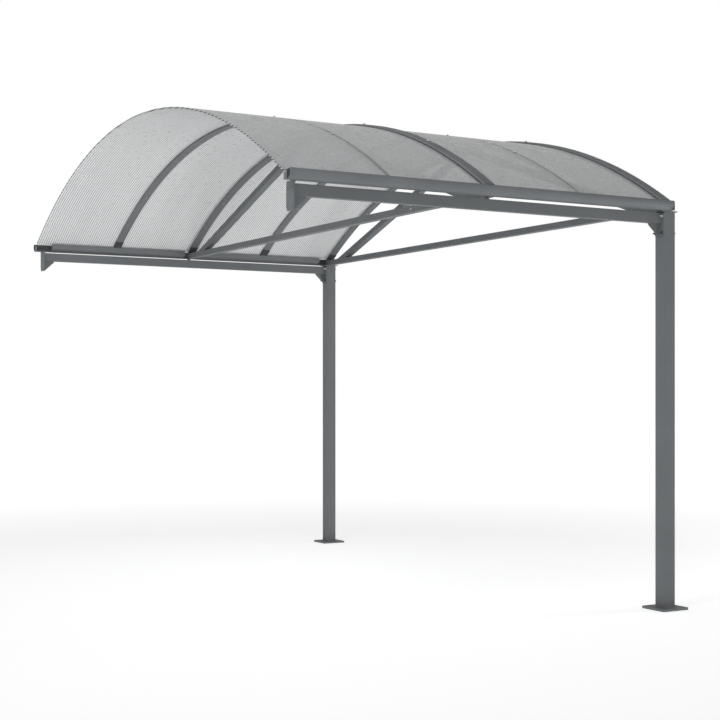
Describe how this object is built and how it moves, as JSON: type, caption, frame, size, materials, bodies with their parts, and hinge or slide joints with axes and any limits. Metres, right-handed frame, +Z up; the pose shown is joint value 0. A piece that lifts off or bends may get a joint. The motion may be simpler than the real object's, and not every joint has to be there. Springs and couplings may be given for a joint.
{
  "type": "bike shelter extension bay",
  "caption": "Open steel bike shelter bay with a barrel roof of smoky multiwall sheet on arched ribs, trusses and bowed gutters; posts at one end, bolting brackets for the next bay at the other.",
  "frame": {"origin": "centre of the underside of the front post's base plate, on the ground", "axes": "+X along the beams towards the post end, +Y from the front post to the back post, +Z up"},
  "size_m": [2.595, 4.315, 3.0068],
  "materials": {
    "frame_steel": "fine-textured grey powder coat on steel",
    "gutter_metal": "grey powder-coated folded sheet",
    "cap_plastic": "dark grey moulded cap",
    "roof_sheet": "smoky translucent multiwall polycarbonate, flutes along the arch",
    "cover_metal": "grey powder-coated strip"
  },
  "bodies": {
    "root": {"front_post": "frame_steel", "back_post": "frame_steel", "front_base_plate": "frame_steel", "back_base_plate": "frame_steel", "front_head_plate": "frame_steel", "back_head_plate": "frame_steel", "front_beam": "frame_steel", "back_beam": "frame_steel", "front_open_end_bracket": "frame_steel", "back_open_end_bracket": "frame_steel", "front_post_bracket": "frame_steel", "back_post_bracket": "frame_steel", "front_mid_spacer": "frame_steel", "back_mid_spacer": "frame_steel", "front_end_spacer": "frame_steel", "back_end_spacer": "frame_steel", "front_gutter": "gutter_metal", "back_gutter": "gutter_metal", "front_gutter_end_cap": "cap_plastic", "back_gutter_end_cap": "cap_plastic", "mid_tie": "frame_steel", "end_tie": "frame_steel", "mid_front_rafter": "frame_steel", "mid_back_rafter": "frame_steel", "end_front_rafter": "frame_steel", "end_back_rafter": "frame_steel", "mid_arch": "frame_steel", "end_arch": "frame_steel", "left_quarter_arch": "frame_steel", "right_quarter_arch": "frame_steel", "left_roof_sheet": "roof_sheet", "right_roof_sheet": "roof_sheet", "mid_joint_cover": "cover_metal", "end_joint_cover": "cover_metal"}
  },
  "joints": []
}
